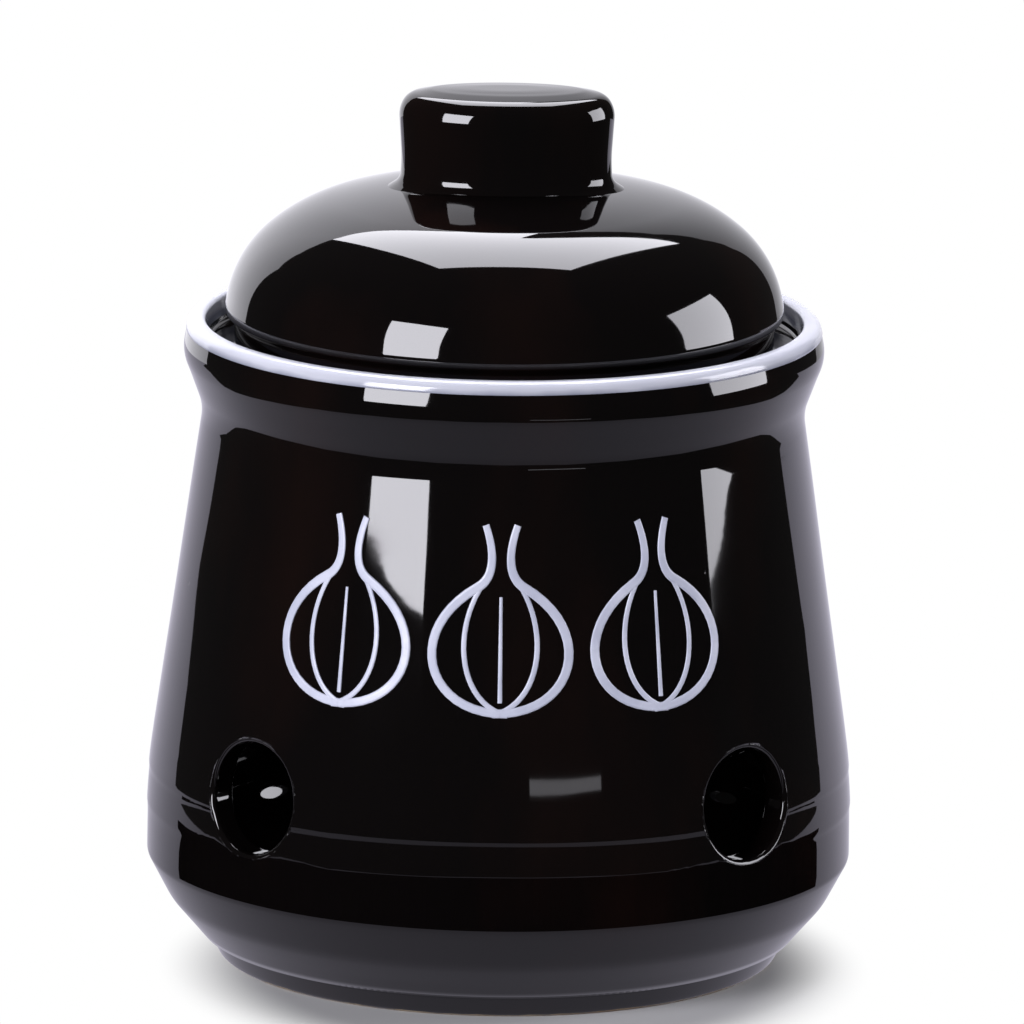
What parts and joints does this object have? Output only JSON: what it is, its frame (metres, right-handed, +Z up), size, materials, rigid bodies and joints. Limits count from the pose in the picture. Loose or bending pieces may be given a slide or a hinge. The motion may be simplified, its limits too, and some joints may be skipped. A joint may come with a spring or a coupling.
{
  "type": "garlic keeper",
  "caption": "Round glazed stoneware jar for garlic bulbs, with vent holes in its belly and a domed lift-off lid with an oval knob.",
  "frame": {"origin": "on the table, at the middle of the foot ring", "axes": "+Z up along the jar's axis; the decorated front faces -Y; the knob is long along X"},
  "size_m": [0.1244, 0.1244, 0.155],
  "materials": {
    "black_glaze": "glossy",
    "pale_glaze": "glossy",
    "motif_enamel": "satin",
    "foot_clay": "glazed outside, bare underneath"
  },
  "bodies": {
    "jar": {"jar_body": "black_glaze", "foot_ring": "foot_clay", "rim_band": "pale_glaze", "front_motif": "motif_enamel"},
    "lid": {"lid_shell": "black_glaze", "lid_flange": "black_glaze", "lid_knob": "black_glaze"}
  },
  "joints": [
    {"name": "lid_lift", "type": "slide", "parent": "jar", "child": "lid", "axis": [0, 0, 1], "range_m": [0, 0.12]}
  ]
}
